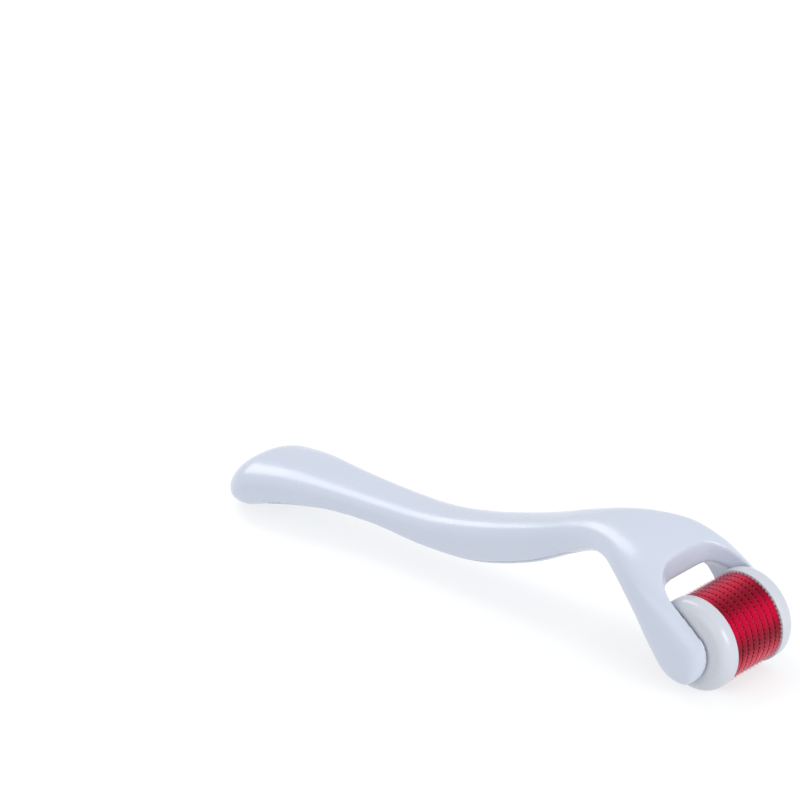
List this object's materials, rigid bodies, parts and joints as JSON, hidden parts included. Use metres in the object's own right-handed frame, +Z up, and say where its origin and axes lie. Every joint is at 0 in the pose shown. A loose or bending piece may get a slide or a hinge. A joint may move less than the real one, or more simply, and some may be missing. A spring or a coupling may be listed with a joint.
{
  "type": "derma roller",
  "caption": "Skin needling roller: a curved hollow plastic handle with a cover let into its underside whose two-arm fork carries a free-spinning drum of toothed steel discs between white end caps.",
  "frame": {"origin": "bottom centre of the whole roller's box, on the surface it rests on", "axes": "+X from the tail of the handle to the drum, +Y along the drum's axis, +Z up"},
  "size_m": [0.15, 0.0286, 0.0283],
  "materials": {
    "handle_plastic": "glossy white ABS with a cool cast, moulded",
    "cap_plastic": "glossy white plastic, moulded",
    "drum_plastic": "translucent crimson plastic, moulded",
    "needle_steel": "thin etched stainless steel"
  },
  "bodies": {
    "handle": {"handle_body": "handle_plastic", "handle_cover": "handle_plastic"},
    "roller": {"drum_core": "drum_plastic", "end_cap_right": "cap_plastic", "end_cap_left": "cap_plastic", "needle_disc_1": "needle_steel", "needle_disc_2": "needle_steel", "needle_disc_3": "needle_steel", "needle_disc_4": "needle_steel", "needle_disc_5": "needle_steel", "needle_disc_6": "needle_steel", "needle_disc_7": "needle_steel", "needle_disc_8": "needle_steel", "needle_disc_9": "needle_steel", "drum_spacer_1": "drum_plastic", "drum_spacer_2": "drum_plastic", "drum_spacer_3": "drum_plastic", "drum_spacer_4": "drum_plastic", "drum_spacer_5": "drum_plastic", "drum_spacer_6": "drum_plastic", "drum_spacer_7": "drum_plastic", "drum_spacer_8": "drum_plastic"}
  },
  "joints": [
    {"name": "roller_spin", "type": "hinge", "parent": "handle", "child": "roller", "pos_m": [0.065, 0, 0.01], "axis": [0, 1, 0], "continuous": true}
  ]
}
